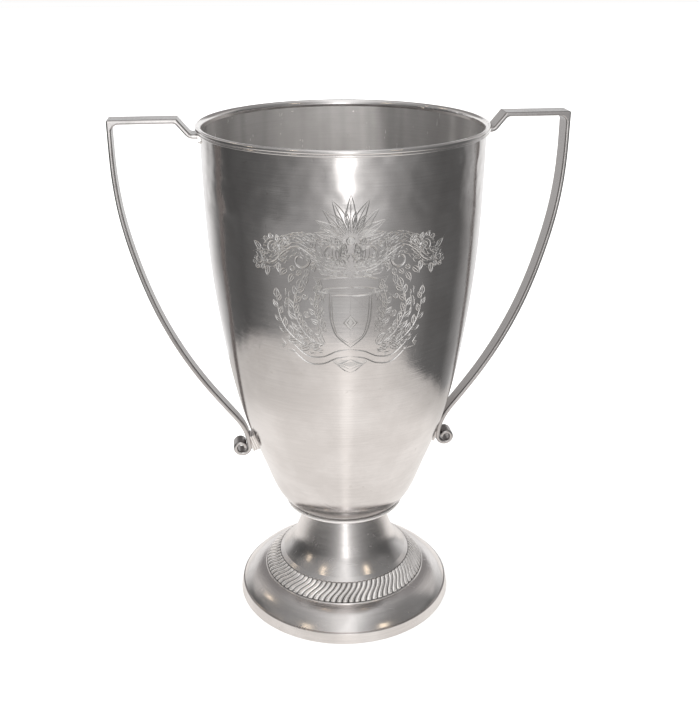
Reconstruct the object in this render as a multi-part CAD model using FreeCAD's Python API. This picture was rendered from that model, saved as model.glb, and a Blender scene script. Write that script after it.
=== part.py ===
"""Two-handled presentation cup: a spun bowl on a trumpet neck and a stepped round foot.

Every sub-part is one function that returns a solid in the shared frame (mm, +Z up,
origin on the floor at the centre of the foot, handles along X) and is written to
its own STEP file.
"""
import FreeCAD, Part
import math
import os

V = FreeCAD.Vector
AXIS = V(0, 0, 1)
ORIGIN = V(0, 0, 0)

# ---- driving dimensions (mm) -------------------------------------------------
WALL = 1.2                      # spun sheet thickness

# foot, from the floor up
BAND_FOOT_R = 73.2              # plain base band, at the floor
BAND_TOP_R = 71.8               # plain base band, at its upper edge
BAND_TOP_Z = 6.9
BAND_THICK = 1.8
DOME_EDGE_R = 70.9              # lower edge of the foot dome
DOME_EDGE_Z = 8.1
DOME_SEAT_R = 55.6              # where the dome meets the gadroon wire
DOME_SEAT_Z = 17.6
SEAT_IN_R = 53.4                # inner end of the flat seat under the wire
FLANGE_Z = 27.3                 # flat top of the dome, carries the neck
FLANGE_R = 43.9
FLANGE_BORE_R = 38.0

# gadroon band: slanted lobes laid on a cone
GADROON_N = 84
GADROON_TOP_R, GADROON_TOP_Z = 45.3, 28.3
GADROON_LOW_R, GADROON_LOW_Z = 54.6, 19.3
GADROON_LOBE = 0.95             # height of a lobe above its valleys
GADROON_BACK = 1.35             # cone surface to the back of the band
GADROON_TWIST = math.radians(8.4)   # how far a lobe leans between its two ends
WIRE_R = 0.75                   # round wire under the lobes

# neck
NECK_FOOT_R = 45.0
NECK_FOOT_Z = 27.3
NECK_WAIST_R = 26.2
NECK_WAIST_Z = 67.4
NECK_TOP_R = 27.9
NECK_TOP_Z = 70.4
NECK_OUTLINE = [(42.4, NECK_FOOT_Z + 3.4), (38.2, 35.6), (34.6, 41.0), (32.2, 46.8),
                (30.4, 52.0), (28.5, 58.0), (26.8, 64.0), (NECK_WAIST_R, NECK_WAIST_Z),
                (NECK_TOP_R, NECK_TOP_Z)]

# collar between neck and bowl
COLLAR_NOSE_R = 39.8
COLLAR_BORE_R = 24.8
BOWL_Z = 72.4

# bowl outline (radius, height), outside face
BOWL_OUTLINE = [(38.2, BOWL_Z), (42.0, 76.6), (45.5, 81.8), (52.4, 98.9), (62.3, 125.5),
                (71.8, 160.9), (78.4, 200.8), (83.3, 245.0), (85.3, 289.3), (85.7, 322.4)]
BOWL_FLOOR_Z = BOWL_Z + 1.4
RIM_Z = 326.5                   # top of the rolled lip
LIP_R = 1.35                    # radius of the rolled lip
LIP_OUT_R = 88.5                # largest radius of the lip
BEAD_R = 0.7                    # fine bead below the lip
BEAD_OUT_R = 88.1

# handles
STRAP_THICK = 2.6
STRAP_WIDE_TOP = 15.0
STRAP_WIDE_LOW = 10.5
STRAP_EDGE = 1.0                # rounding of the strap edges
BAR_Z = 331.0                   # top face of the grip bar
CORNER_X = 138.8                # outer face at the square corner
SCROLL_X, SCROLL_Z = 69.3, 113.4
SCROLL_R = 7.0                  # outside radius of the curled end
HALF = STRAP_THICK / 2
CORNER_IN_R = 4.4               # rounding inside the square corner
GRIP_LINE = [(84.6, 320.6), (91.4, 320.6), (99.0, BAR_Z - HALF), (CORNER_X, BAR_Z - HALF)]
GRIP_TOP_RADII = (2.4, 0.9)     # bends of the top face, from the rim outwards
GRIP_LOW_RADII = (6.0, 3.2)     # the same bends on the underside
SIDE_LINE = [(CORNER_X - HALF, BAR_Z - STRAP_THICK - CORNER_IN_R), (137.4, 305.0),
             (134.9, 275.0), (127.9, 243.0), (116.3, 208.5), (101.6, 178.5), (84.8, 152.5),
             (71.2, 134.3), (65.2, 122.5)]
SCROLL_TURNS = 1.05
SCROLL_PITCH = 3.1              # how much the curl tightens in one turn
SCROLL_SWELL = 1.08             # strap thickness at the curl, against the grip
SCROLL_TAPER = 0.2              # loss of thickness towards the tip of the curl
SCROLL_START = math.pi - 0.28   # angle where the strap runs into the curl

# pads that join the handles to the bowl
PAD_OUT_R = 87.1
PAD_TOP_Z = 322.4
PAD_TALL = 5.8
PAD_HALF_WIDE = 8.8
REED_N = 4
REED_STEP = 1.5                 # one reed after the other, away from the wall
REED_TALL = 11.6
REED_WIDE = 9.6
REED_ROUND = 0.72
REED_X, REED_Z = 58.6, 117.0    # middle of the bracket on the bowl wall
REED_LEAN = 20.6                # slope of the wall there, degrees

# hidden centre fixing
STUD_R = 3.0
STUD_LOW_Z = 13.5
DISC_R = 24.2
DISC_Z = 70.2
PLATE_R = 41.5
PLATE_THICK = 1.8
NUT_FLATS = 10.0
WASHER_THICK = 1.6
NUT_THICK = 5.0
PLATE_Z = FLANGE_Z - WALL - PLATE_THICK
WASHER_Z = PLATE_Z - WASHER_THICK
NUT_Z = WASHER_Z - NUT_THICK


# ---- helpers -----------------------------------------------------------------
def xz(x, z):
    return V(x, 0, z)


def line(a, b):
    return Part.makeLine(xz(*a), xz(*b))


def arc(a, m, b):
    return Part.Arc(xz(*a), xz(*m), xz(*b)).toShape()


def spline(points, start=None, end=None):
    curve = Part.BSplineCurve()
    pts = [xz(*p) for p in points]
    if start and end:
        curve.interpolate(Points=pts, InitialTangent=xz(*start), FinalTangent=xz(*end))
    else:
        curve.interpolate(Points=pts)
    return curve.toShape()


def spin(edges):
    """Solid of revolution of a closed outline in the XZ plane."""
    wire = Part.Wire(Part.__sortEdges__(edges))
    return Part.makeSolid(Part.Face(wire).revolve(ORIGIN, AXIS, 360))


def inset(points, d):
    """The same outline moved inwards by a horizontal distance d."""
    return [(r - d, z) for r, z in points]


def tube(r_in, r_out, z0, z1):
    ring = Part.makeCylinder(r_out, z1 - z0, V(0, 0, z0))
    return ring.cut(Part.makeCylinder(r_in, z1 - z0, V(0, 0, z0)))


# ---- foot --------------------------------------------------------------------
def foot_band():
    """Plain flared band the cup stands on."""
    return spin([
        line((BAND_FOOT_R - BAND_THICK, 0), (BAND_FOOT_R - 0.4, 0)),
        arc((BAND_FOOT_R - 0.4, 0), (BAND_FOOT_R - 0.06, 0.16), (BAND_FOOT_R, 0.5)),
        line((BAND_FOOT_R, 0.5), (BAND_TOP_R + 0.15, BAND_TOP_Z - 0.3)),
        arc((BAND_TOP_R + 0.15, BAND_TOP_Z - 0.3), (BAND_TOP_R, BAND_TOP_Z - 0.07),
            (BAND_TOP_R - 0.3, BAND_TOP_Z)),
        line((BAND_TOP_R - 0.3, BAND_TOP_Z), (BAND_TOP_R - BAND_THICK, BAND_TOP_Z)),
        line((BAND_TOP_R - BAND_THICK, BAND_TOP_Z), (BAND_FOOT_R - BAND_THICK, 0)),
    ])


def foot_dome():
    """Spun dome with a flat seat, a cone for the lobes and a top flange."""
    low_in = (DOME_EDGE_R - WALL, BAND_TOP_Z)
    low_out = (DOME_EDGE_R, BAND_TOP_Z)
    edge = (DOME_EDGE_R, DOME_EDGE_Z - 0.5)
    swell = (64.2, 13.6)
    seat_out = (DOME_SEAT_R, DOME_SEAT_Z)
    seat_in = (SEAT_IN_R, DOME_SEAT_Z)
    cone_top = (FLANGE_R, FLANGE_Z)
    bore = (FLANGE_BORE_R, FLANGE_Z)
    bore_low = (FLANGE_BORE_R, FLANGE_Z - WALL)
    cone_in = (FLANGE_R - 0.5, FLANGE_Z - WALL)
    seat_low = (SEAT_IN_R - 0.5, DOME_SEAT_Z - WALL)
    seat_low_out = (DOME_SEAT_R - 0.4, DOME_SEAT_Z - WALL)
    return spin([
        line(low_in, low_out), line(low_out, edge), arc(edge, swell, seat_out),
        line(seat_out, seat_in), line(seat_in, cone_top), line(cone_top, bore),
        line(bore, bore_low), line(bore_low, cone_in), line(cone_in, seat_low),
        line(seat_low, seat_low_out),
        arc(seat_low_out, (swell[0] - 0.7, swell[1] - WALL), low_in),
    ])


def gadroon_wire():
    """Round wire that closes the lower edge of the lobes, flat where it sits."""
    ring = Part.makeTorus(DOME_SEAT_R - WIRE_R, WIRE_R, V(0, 0, DOME_SEAT_Z + WIRE_R - 0.15))
    return ring.cut(Part.makeCylinder(60, 2, V(0, 0, DOME_SEAT_Z - 2)))


def gadroon_point(u, t, height):
    """Point on a lobe: u runs across it (0..1), t down its length (0..1)."""
    lean = t - 0.55 * math.sin(2 * math.pi * t) / (2 * math.pi)
    angle = 2 * math.pi * u / GADROON_N - GADROON_TWIST * lean
    r = GADROON_TOP_R + (GADROON_LOW_R - GADROON_TOP_R) * t
    z = GADROON_TOP_Z + (GADROON_LOW_Z - GADROON_TOP_Z) * t
    slope = math.atan2(GADROON_LOW_R - GADROON_TOP_R, GADROON_TOP_Z - GADROON_LOW_Z)
    r += height * math.cos(slope)
    z += height * math.sin(slope)
    return V(r * math.cos(angle), r * math.sin(angle), z)


def gadroon_surface(height_at, across, along):
    grid = [[gadroon_point(i / across, j / along, height_at(i / across, j / along))
             for j in range(along + 1)] for i in range(across + 1)]
    surface = Part.BSplineSurface()
    surface.interpolate(grid)
    return surface


def gadroon_band():
    """Ring of slanted S-shaped lobes: one lobe, repeated, sewn into a closed solid."""
    def lobe(u, t):
        ends = min(1.0, 6.0 * t + 0.45, 6.0 * (1 - t) + 0.45)
        return GADROON_LOBE * (ends * math.sin(math.pi * u) ** 0.7 - 0.5)

    def back(u, t):
        return -GADROON_BACK
    front_skin = gadroon_surface(lobe, 8, 10)
    back_skin = gadroon_surface(back, 2, 10)
    one_lobe = [front_skin.toShape(), back_skin.toShape()]
    for t in (0.0, 1.0):
        one_lobe.append(Part.makeRuledSurface(front_skin.vIso(t).toShape(),
                                              back_skin.vIso(t).toShape()))
    ring = []
    for n in range(GADROON_N):
        for face in one_lobe:
            lobe_face = face.copy()
            lobe_face.rotate(ORIGIN, AXIS, 360.0 * n / GADROON_N)
            ring.append(lobe_face)
    skin = Part.makeCompound(ring)
    skin.sewShape(0.01)
    return Part.makeSolid(skin.Shells[0])


# ---- neck and collar -----------------------------------------------------------

def neck():
    """Trumpet-shaped spun neck with a small foot rim."""
    skin = spline(NECK_OUTLINE)
    lining = spline(inset(NECK_OUTLINE, WALL * 1.25))
    top, low = NECK_OUTLINE[-1], NECK_OUTLINE[0]
    rim = (NECK_FOOT_R, NECK_FOOT_Z + 1.3)
    return spin([
        skin, lining,
        line(top, (top[0] - WALL * 1.25, top[1])),
        line(low, rim),
        line(rim, (NECK_FOOT_R, NECK_FOOT_Z)),
        line((NECK_FOOT_R, NECK_FOOT_Z), (low[0] - 1.0, NECK_FOOT_Z)),
        line((low[0] - 1.0, NECK_FOOT_Z), (low[0] - WALL * 1.25, low[1])),
    ])


def collar():
    """Half-round ring that covers the joint between the neck and the bowl."""
    mid = (NECK_TOP_Z + BOWL_Z) / 2
    half = (BOWL_Z - NECK_TOP_Z) / 2
    shoulder = COLLAR_NOSE_R - half
    return spin([
        line((COLLAR_BORE_R, NECK_TOP_Z), (shoulder, NECK_TOP_Z)),
        arc((shoulder, NECK_TOP_Z), (COLLAR_NOSE_R, mid), (shoulder, BOWL_Z)),
        line((shoulder, BOWL_Z), (COLLAR_BORE_R, BOWL_Z)),
        line((COLLAR_BORE_R, BOWL_Z), (COLLAR_BORE_R, NECK_TOP_Z)),
    ])


# ---- bowl and rim --------------------------------------------------------------
def bowl():
    """Deep spun bowl, open at the top."""
    outside = spline(BOWL_OUTLINE)
    lining = inset(BOWL_OUTLINE, WALL * 1.05)
    lining = [(41.9, BOWL_FLOOR_Z + 5.6)] + lining[3:]
    inside = spline(lining)
    mouth_out, mouth_in = BOWL_OUTLINE[-1], lining[-1]
    return spin([
        outside, inside,
        line(mouth_out, mouth_in),
        line((0, BOWL_Z), BOWL_OUTLINE[0]),
        line((0, BOWL_Z), (0, BOWL_FLOOR_Z)),
        line((0, BOWL_FLOOR_Z), (32.6, BOWL_FLOOR_Z)),
        arc((32.6, BOWL_FLOOR_Z), (38.2, BOWL_FLOOR_Z + 1.6), lining[0]),
    ])


def rim_lip():
    """Rolled lip on the mouth of the bowl."""
    centre = LIP_OUT_R - LIP_R
    mid_z = RIM_Z - LIP_R
    seat = BOWL_OUTLINE[-1]
    inner = seat[0] - WALL * 1.05
    roll = centre - inner
    low_z = mid_z - math.sqrt(LIP_R ** 2 - 0.75 ** 2)
    return spin([
        arc((centre + 0.75, low_z), (LIP_OUT_R, mid_z), (centre, RIM_Z)),
        arc((centre, RIM_Z), (centre - roll * math.sqrt(0.5), RIM_Z - roll * (1 - math.sqrt(0.5))),
            (inner, RIM_Z - roll)),
        line((inner, RIM_Z - roll), (inner, seat[1])),
        line((inner, seat[1]), seat),
        line(seat, (seat[0], low_z)),
        line((seat[0], low_z), (centre + 0.75, low_z)),
    ])


def rim_bead():
    """Fine bead directly under the lip, wrapped on the bowl wall."""
    top = RIM_Z - LIP_R - math.sqrt(LIP_R ** 2 - 0.75 ** 2)
    wall_r = BOWL_OUTLINE[-1][0]
    nose = BEAD_OUT_R - BEAD_R
    low = top - 2 * BEAD_R
    band = spin([
        line((wall_r, top), (nose, top)),
        arc((nose, top), (BEAD_OUT_R, top - BEAD_R), (nose, low)),
        line((nose, low), (wall_r - 0.4, low)),
        line((wall_r - 0.4, low), (wall_r - 0.4, top)),
        line((wall_r - 0.4, top), (wall_r, top)),
    ])
    return band.cut(bowl()).cut(rim_lip())


# ---- handles -------------------------------------------------------------------
def offset_point(p, d, h):
    """Point h to the left of travel direction d."""
    n = math.hypot(d[0], d[1])
    return (p[0] - d[1] / n * h, p[1] + d[0] / n * h)


def bent_face(points, h, radii):
    """Lines and arcs parallel to a bent path, h to its left, with the given bend radii."""
    ends = []
    for p, q in zip(points, points[1:]):
        d = (q[0] - p[0], q[1] - p[1])
        ends.append((offset_point(p, d, h), offset_point(q, d, h)))
    edges, start = [], ends[0][0]
    for (p, q), (u, w), radius in zip(ends, ends[1:], radii):
        a = math.atan2(q[1] - p[1], q[0] - p[0])
        b = math.atan2(w[1] - u[1], w[0] - u[0])
        k = ((u[0] - p[0]) * math.sin(b) - (u[1] - p[1]) * math.cos(b)) / math.sin(b - a)
        corner = (p[0] + k * math.cos(a), p[1] + k * math.sin(a))
        cut = radius * abs(math.tan((b - a) / 2))
        into = (corner[0] - cut * math.cos(a), corner[1] - cut * math.sin(a))
        away = (corner[0] + cut * math.cos(b), corner[1] + cut * math.sin(b))
        side = math.copysign(radius, b - a)
        centre = (into[0] - side * math.sin(a), into[1] + side * math.cos(a))
        half = (a + b) / 2
        top = (centre[0] + side * math.sin(half), centre[1] - side * math.cos(half))
        edges += [line(start, into), arc(into, top, away)]
        start = away
    return edges, ends[0][0], start


def offset_spline(points, h, samples, start, end):
    """Parallel copy of the spline through points, at distance h(s) to its left."""
    curve = spline(points, start, end).Curve
    first, last = curve.FirstParameter, curve.LastParameter
    out = []
    for i in range(samples + 1):
        s = i / samples
        p = curve.value(first + (last - first) * s)
        d = curve.tangent(first + (last - first) * s)[0]
        out.append(offset_point((p.x, p.z), (d.x, d.z), h(s)))
    return out


def scroll_points(side, samples):
    """One face of the spiral end; it tightens by a little more than its thickness a turn."""
    out = []
    for i in range(samples + 1):
        s = i / samples
        a = SCROLL_START + 2 * math.pi * SCROLL_TURNS * s
        half = HALF * (SCROLL_SWELL - SCROLL_TAPER * s)
        r = SCROLL_R - HALF * SCROLL_SWELL - SCROLL_PITCH * SCROLL_TURNS * s + side * half
        out.append((SCROLL_X + r * math.cos(a), SCROLL_Z + r * math.sin(a)))
    return out


def strap_outline():
    """Side outline: grip bar, square corner, long curved side and curled end."""
    def taper(s):
        return HALF * (1 + (SCROLL_SWELL - 1) * s)
    top_edges, top_start, top_end = bent_face(GRIP_LINE, HALF, GRIP_TOP_RADII)
    low_edges, low_start, low_end = bent_face(GRIP_LINE, -HALF, GRIP_LOW_RADII)
    side_out = offset_spline(SIDE_LINE, taper, 22, (0, -1), (-0.29, -1))
    side_in = offset_spline(SIDE_LINE, lambda s: -taper(s), 22, (0, -1), (-0.29, -1))
    face_out = spline(side_out + scroll_points(-1, 30))
    face_in = spline(side_in + scroll_points(1, 30))
    tip_out, tip_in = scroll_points(-1, 30)[-1], scroll_points(1, 30)[-1]
    corner = (CORNER_X, BAR_Z)
    bend = CORNER_IN_R * (1 - math.sqrt(0.5))
    arc_start = (side_in[0][0] - CORNER_IN_R, BAR_Z - STRAP_THICK)
    arc_mid = (side_in[0][0] - bend, BAR_Z - STRAP_THICK - bend)
    return top_edges + low_edges + [
        line(top_end, corner), line(corner, side_out[0]), face_out,
        line(tip_out, tip_in), face_in, arc(side_in[0], arc_mid, arc_start),
        line(arc_start, low_end), line(low_start, top_start),
    ]


def handle():
    """Right-hand strap, cut from its side outline and narrower towards the curled end."""
    wide = STRAP_WIDE_TOP
    face = Part.Face(Part.Wire(Part.__sortEdges__(strap_outline())))
    face.translate(V(0, -wide / 2, 0))
    body = face.extrude(V(0, wide, 0))
    low, top = STRAP_WIDE_LOW / 2, STRAP_WIDE_TOP / 2
    blank = Part.Face(Part.makePolygon([V(0, -low, 100), V(0, -top, 335), V(0, top, 335),
                                        V(0, low, 100), V(0, -low, 100)]))
    body = body.common(blank.extrude(V(160, 0, 0)))
    body = body.makeFillet(STRAP_EDGE, [e for e in body.Edges if e.Length > 8])
    return body.cut(Part.makeCylinder(PAD_OUT_R, 20, V(0, 0, 310)))


def bowl_blank():
    """The bowl's outside as one full solid, for trimming what is fixed to it."""
    top = BOWL_OUTLINE[-1]
    return spin([spline(BOWL_OUTLINE), line(top, (0, top[1])), line((0, top[1]), (0, BOWL_Z)),
                 line((0, BOWL_Z), BOWL_OUTLINE[0])])


def rim_pad():
    """Curved saddle that carries the upper end of the strap under the rim bead."""
    block = Part.makeBox(10, 2 * PAD_HALF_WIDE, PAD_TALL, V(80, -PAD_HALF_WIDE, PAD_TOP_Z - PAD_TALL))
    corners = [e for e in block.Edges if abs(e.Length - 10) < 1e-6]
    block = block.makeFillet(1.6, corners)
    return block.common(Part.makeCylinder(PAD_OUT_R, 30, V(0, 0, 300))).cut(bowl_blank())


def scroll_pad():
    """Reeded bracket between the bowl and the curl: rounded leaves laid against the wall."""
    lean = math.radians(REED_LEAN)
    out = V(math.cos(lean), 0, -math.sin(lean))
    block = None
    for i in range(REED_N):
        thick = 2 * REED_ROUND + 0.16
        leaf = Part.makeBox(thick, REED_WIDE, REED_TALL,
                            V(-thick / 2, -REED_WIDE / 2, -REED_TALL / 2))
        leaf = leaf.makeFillet(REED_ROUND, leaf.Edges)
        leaf.rotate(ORIGIN, V(0, 1, 0), REED_LEAN)
        leaf.translate(V(REED_X, 0, REED_Z) + out * (REED_STEP * i))
        block = leaf if block is None else block.fuse(leaf)
    block = block.cut(bowl_blank()).cut(handle())
    return min(block.Solids, key=lambda solid: solid.CenterOfMass.x)


# ---- hidden centre fixing --------------------------------------------------------
def bowl_disc():
    """Stiffening disc under the bowl floor that holds the stud."""
    return Part.makeCylinder(DISC_R, BOWL_Z - DISC_Z, V(0, 0, DISC_Z))


def stud():
    """Threaded rod, drawn plain with chamfered ends."""
    return spin([
        line((0, STUD_LOW_Z), (STUD_R - 0.6, STUD_LOW_Z)),
        line((STUD_R - 0.6, STUD_LOW_Z), (STUD_R, STUD_LOW_Z + 0.6)),
        line((STUD_R, STUD_LOW_Z + 0.6), (STUD_R, DISC_Z)),
        line((STUD_R, DISC_Z), (0, DISC_Z)),
        line((0, DISC_Z), (0, STUD_LOW_Z)),
    ])


def foot_plate():
    """Bridge plate under the dome flange that the nut pulls against."""
    return tube(STUD_R + 0.3, PLATE_R, PLATE_Z, PLATE_Z + PLATE_THICK)


def washer():
    return tube(STUD_R + 0.2, 9.0, WASHER_Z, PLATE_Z)


def nut():
    """Hexagon nut with chamfered corners."""
    corner_r = NUT_FLATS / math.sqrt(3)
    corners = [V(corner_r * math.cos(math.radians(60 * i)),
                 corner_r * math.sin(math.radians(60 * i)), NUT_Z) for i in range(7)]
    prism = Part.Face(Part.makePolygon(corners)).extrude(V(0, 0, NUT_THICK))
    soften = spin([
        line((0, NUT_Z), (corner_r - 0.7, NUT_Z)),
        line((corner_r - 0.7, NUT_Z), (corner_r, NUT_Z + 0.5)),
        line((corner_r, NUT_Z + 0.5), (corner_r, WASHER_Z)),
        line((corner_r, WASHER_Z), (0, WASHER_Z)),
        line((0, WASHER_Z), (0, NUT_Z)),
    ])
    hole = Part.makeCylinder(STUD_R + 0.02, NUT_THICK, V(0, 0, NUT_Z))
    return prism.common(soften).cut(hole)


# ---- write one file per sub-part --------------------------------------------------
def opposite(shape):
    """The same piece on the opposite side of the cup."""
    other = shape.copy()
    other.rotate(ORIGIN, AXIS, 180)
    return other


def write(name, shape):
    solid = shape.Solids[0] if len(shape.Solids) == 1 else shape
    box = solid.optimalBoundingBox()
    print("%-16s valid %s solids %d volume %.0f z %.2f..%.2f x %.2f..%.2f" % (
        name, solid.isValid(), len(solid.Solids), solid.Volume, box.ZMin, box.ZMax,
        box.XMin, box.XMax))
    solid.exportStep("parts/%s.step" % name)


def main():
    os.makedirs("parts", exist_ok=True)
    for make in (foot_band, foot_dome, gadroon_wire, gadroon_band, neck, collar, bowl,
                 rim_lip, rim_bead, bowl_disc, stud, foot_plate, washer, nut):
        write(make.__name__, make())
    for make in (handle, rim_pad, scroll_pad):
        right = make()
        write(make.__name__ + "_right", right)
        write(make.__name__ + "_left", opposite(right))


main()
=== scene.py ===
"""Looks, light and camera for the two-handled cup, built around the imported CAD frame."""
import bpy
import bmesh
import math
import random
import numpy
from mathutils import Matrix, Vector
from mathutils.geometry import delaunay_2d_cdt


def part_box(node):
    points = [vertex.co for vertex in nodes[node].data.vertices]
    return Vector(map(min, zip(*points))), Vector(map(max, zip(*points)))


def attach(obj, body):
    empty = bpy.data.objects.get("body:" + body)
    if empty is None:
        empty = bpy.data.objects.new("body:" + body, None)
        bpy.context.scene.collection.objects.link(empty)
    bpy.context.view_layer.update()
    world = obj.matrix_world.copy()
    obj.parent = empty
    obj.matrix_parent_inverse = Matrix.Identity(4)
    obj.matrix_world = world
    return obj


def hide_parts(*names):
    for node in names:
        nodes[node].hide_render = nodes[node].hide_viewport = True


random.seed(7)

# ---- view and stage (metres, degrees) ------------------------------------------
CAM_DISTANCE = 0.6183           # level distance from the cup's axis
CAM_HEIGHT = 0.4321
CAM_PITCH = 22.40               # downwards
CAM_TURN = 6.7                  # the left handle comes this far towards the camera
CAM_PAN = 0.38                  # the cup stands a little left of the picture's middle
CAM_LENS = 52.25
FLOOR_HALF = 6.0

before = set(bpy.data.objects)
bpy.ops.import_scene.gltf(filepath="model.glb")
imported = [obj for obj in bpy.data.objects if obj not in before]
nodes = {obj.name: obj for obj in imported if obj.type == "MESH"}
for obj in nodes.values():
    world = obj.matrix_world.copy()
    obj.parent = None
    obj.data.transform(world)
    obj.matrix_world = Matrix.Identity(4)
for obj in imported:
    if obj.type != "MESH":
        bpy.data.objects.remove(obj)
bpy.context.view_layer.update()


# ---- node helpers ----------------------------------------------------------------
class Net:
    """Thin wrapper that makes a node tree readable: each call adds one node."""

    def __init__(self, tree):
        self.tree = tree
        tree.nodes.clear()

    def add(self, kind, inputs=(), **settings):
        node = self.tree.nodes.new("ShaderNode" + kind)
        for key, value in settings.items():
            setattr(node, key, value)
        for key, value in dict(inputs).items():
            if isinstance(value, bpy.types.NodeSocket):
                self.tree.links.new(value, node.inputs[key])
            else:
                node.inputs[key].default_value = value
        return node

    def math(self, op, a, b=0.0, c=0.0, clamp=False):
        return self.add("Math", {0: a, 1: b, 2: c}, operation=op, use_clamp=clamp).outputs[0]

    def dot(self, a, b):
        return self.add("VectorMath", {0: a, 1: b}, operation="DOT_PRODUCT").outputs["Value"]

    def step(self, value, low, high, out_low=0.0, out_high=1.0):
        node = self.add("MapRange", {"Value": value, "From Min": low, "From Max": high,
                                     "To Min": out_low, "To Max": out_high},
                        interpolation_type="SMOOTHSTEP")
        return node.outputs["Result"]

    def ramp(self, value, stops, mode="EASE"):
        node = self.add("ValToRGB", {"Fac": value})
        node.color_ramp.interpolation = mode
        elements = node.color_ramp.elements
        while len(elements) < len(stops):
            elements.new(0.5)
        for element, (position, level) in zip(elements, stops):
            element.position = position
            colour = level if isinstance(level, tuple) else (level, level, level)
            element.color = (*colour, 1.0)
        return node.outputs["Color"]

    def mix(self, fac, a, b, kind="RGBA", blend="MIX"):
        node = self.add("Mix", data_type=kind, blend_type=blend)
        slot = {"RGBA": (6, 7, 2), "FLOAT": (2, 3, 0)}[kind]
        for index, value in ((0, fac), (slot[0], a), (slot[1], b)):
            if isinstance(value, bpy.types.NodeSocket):
                self.tree.links.new(value, node.inputs[index])
            else:
                node.inputs[index].default_value = value
        return node.outputs[slot[2]]

    def noise(self, vector, scale, detail=2.0, rough=0.5, dist=0.0):
        node = self.add("TexNoise", {"Vector": vector, "Scale": scale, "Detail": detail,
                                     "Roughness": rough, "Distortion": dist})
        return node.outputs["Fac"]


def azimuth_stops(levels):
    """Ramp stops from (degrees round the cup, level); 0 faces the camera, + is to its right."""
    return [((angle + 180.0) / 360.0, level) for angle, level in levels]


turn = math.radians(CAM_TURN)
TO_CAMERA = Vector((-math.sin(turn), -math.cos(turn), 0.0))
TO_RIGHT = Vector((math.cos(turn), -math.sin(turn), 0.0))


# ---- the room that the metal mirrors -------------------------------------------------
WALLS = [(-180, 1.0), (-146, 1.0), (-134, 0.70), (-120, 0.17), (-102, 0.085), (-70, 0.12),
         (-45, 0.19), (-28, 0.33), (-15, 0.55), (-7, 0.80), (-3, 1.5), (2, 2.2), (6, 2.2),
         (10, 1.1), (16, 0.80), (26, 0.55), (38, 0.34), (60, 0.17), (84, 0.11), (104, 0.12),
         (120, 0.36), (134, 0.72), (148, 1.0), (180, 1.0)]
TABLE_NEAR = [(-180, 0.95), (-146, 0.95), (-128, 0.45), (-116, 0.14), (-88, 0.10), (-70, 0.16),
              (-52, 0.32), (-25, 0.42), (-8, 0.52), (4, 0.62), (18, 0.52), (34, 0.36),
              (58, 0.24), (76, 0.14), (106, 0.12), (126, 0.35), (146, 0.85), (180, 0.95)]
# the pale cloth the cup stands on: how far it reaches (m), and its light by reach and by side
CLOTH_EDGE = [(-180, 0.41), (35, 0.41), (45, 0.395), (58, 0.35), (70, 0.32), (85, 0.305),
              (100, 0.295), (125, 0.30), (180, 0.41)]
CLOTH_LIGHT = [(0.0, 0.90), (0.16, 0.97), (0.30, 1.0), (0.40, 0.97), (0.50, 0.92), (0.64, 0.86),
               (0.78, 0.80), (1.0, 0.76)]
CLOTH_SIDES = [(-180, 0.9), (-110, 0.80), (-50, 0.86), (-25, 0.98), (-5, 1.12), (10, 1.12),
               (20, 1.04), (35, 1.02), (47, 0.90), (60, 0.78), (80, 0.68), (100, 0.60), (125, 0.7),
               (180, 0.9)]
CLOTH_GLEAM = [(-180, 1.0), (-6, 1.0), (0, 1.16), (5, 1.16), (11, 1.0), (180, 1.0)]

# the upper room, by how far a direction leans to the camera's left (-1) or right (+1)
CEILING = [(-1.0, 0.50), (-0.85, 0.30), (-0.6, 0.33), (-0.42, 0.46), (-0.26, 0.65), (-0.12, 0.95),
           (0.05, 1.25), (0.2, 0.72), (0.38, 0.42), (0.6, 0.24), (0.85, 0.24), (1.0, 0.5)]
LAMPS = [(-78, 24, 2.6), (-45, 43, 3.0), (48, 42, 3.0), (-112, 38, 2.4)]   # azimuth, height, size
LAMP_LIGHT = (3.2, 2.7, 2.1, 1.0)


def azimuth_of(net, vector):
    """0..1 round the cup, 0.5 facing the camera."""
    across = net.dot(vector, TO_RIGHT)
    towards = net.dot(vector, TO_CAMERA)
    angle = net.math("ARCTAN2", across, towards)
    return net.math("MULTIPLY_ADD", angle, 1.0 / (2 * math.pi), 0.5)


def lamp_direction(azimuth, height):
    a, h = math.radians(azimuth), math.radians(height)
    level = TO_CAMERA * math.cos(a) + TO_RIGHT * math.sin(a)
    return level * math.cos(h) + Vector((0, 0, math.sin(h)))


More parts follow.
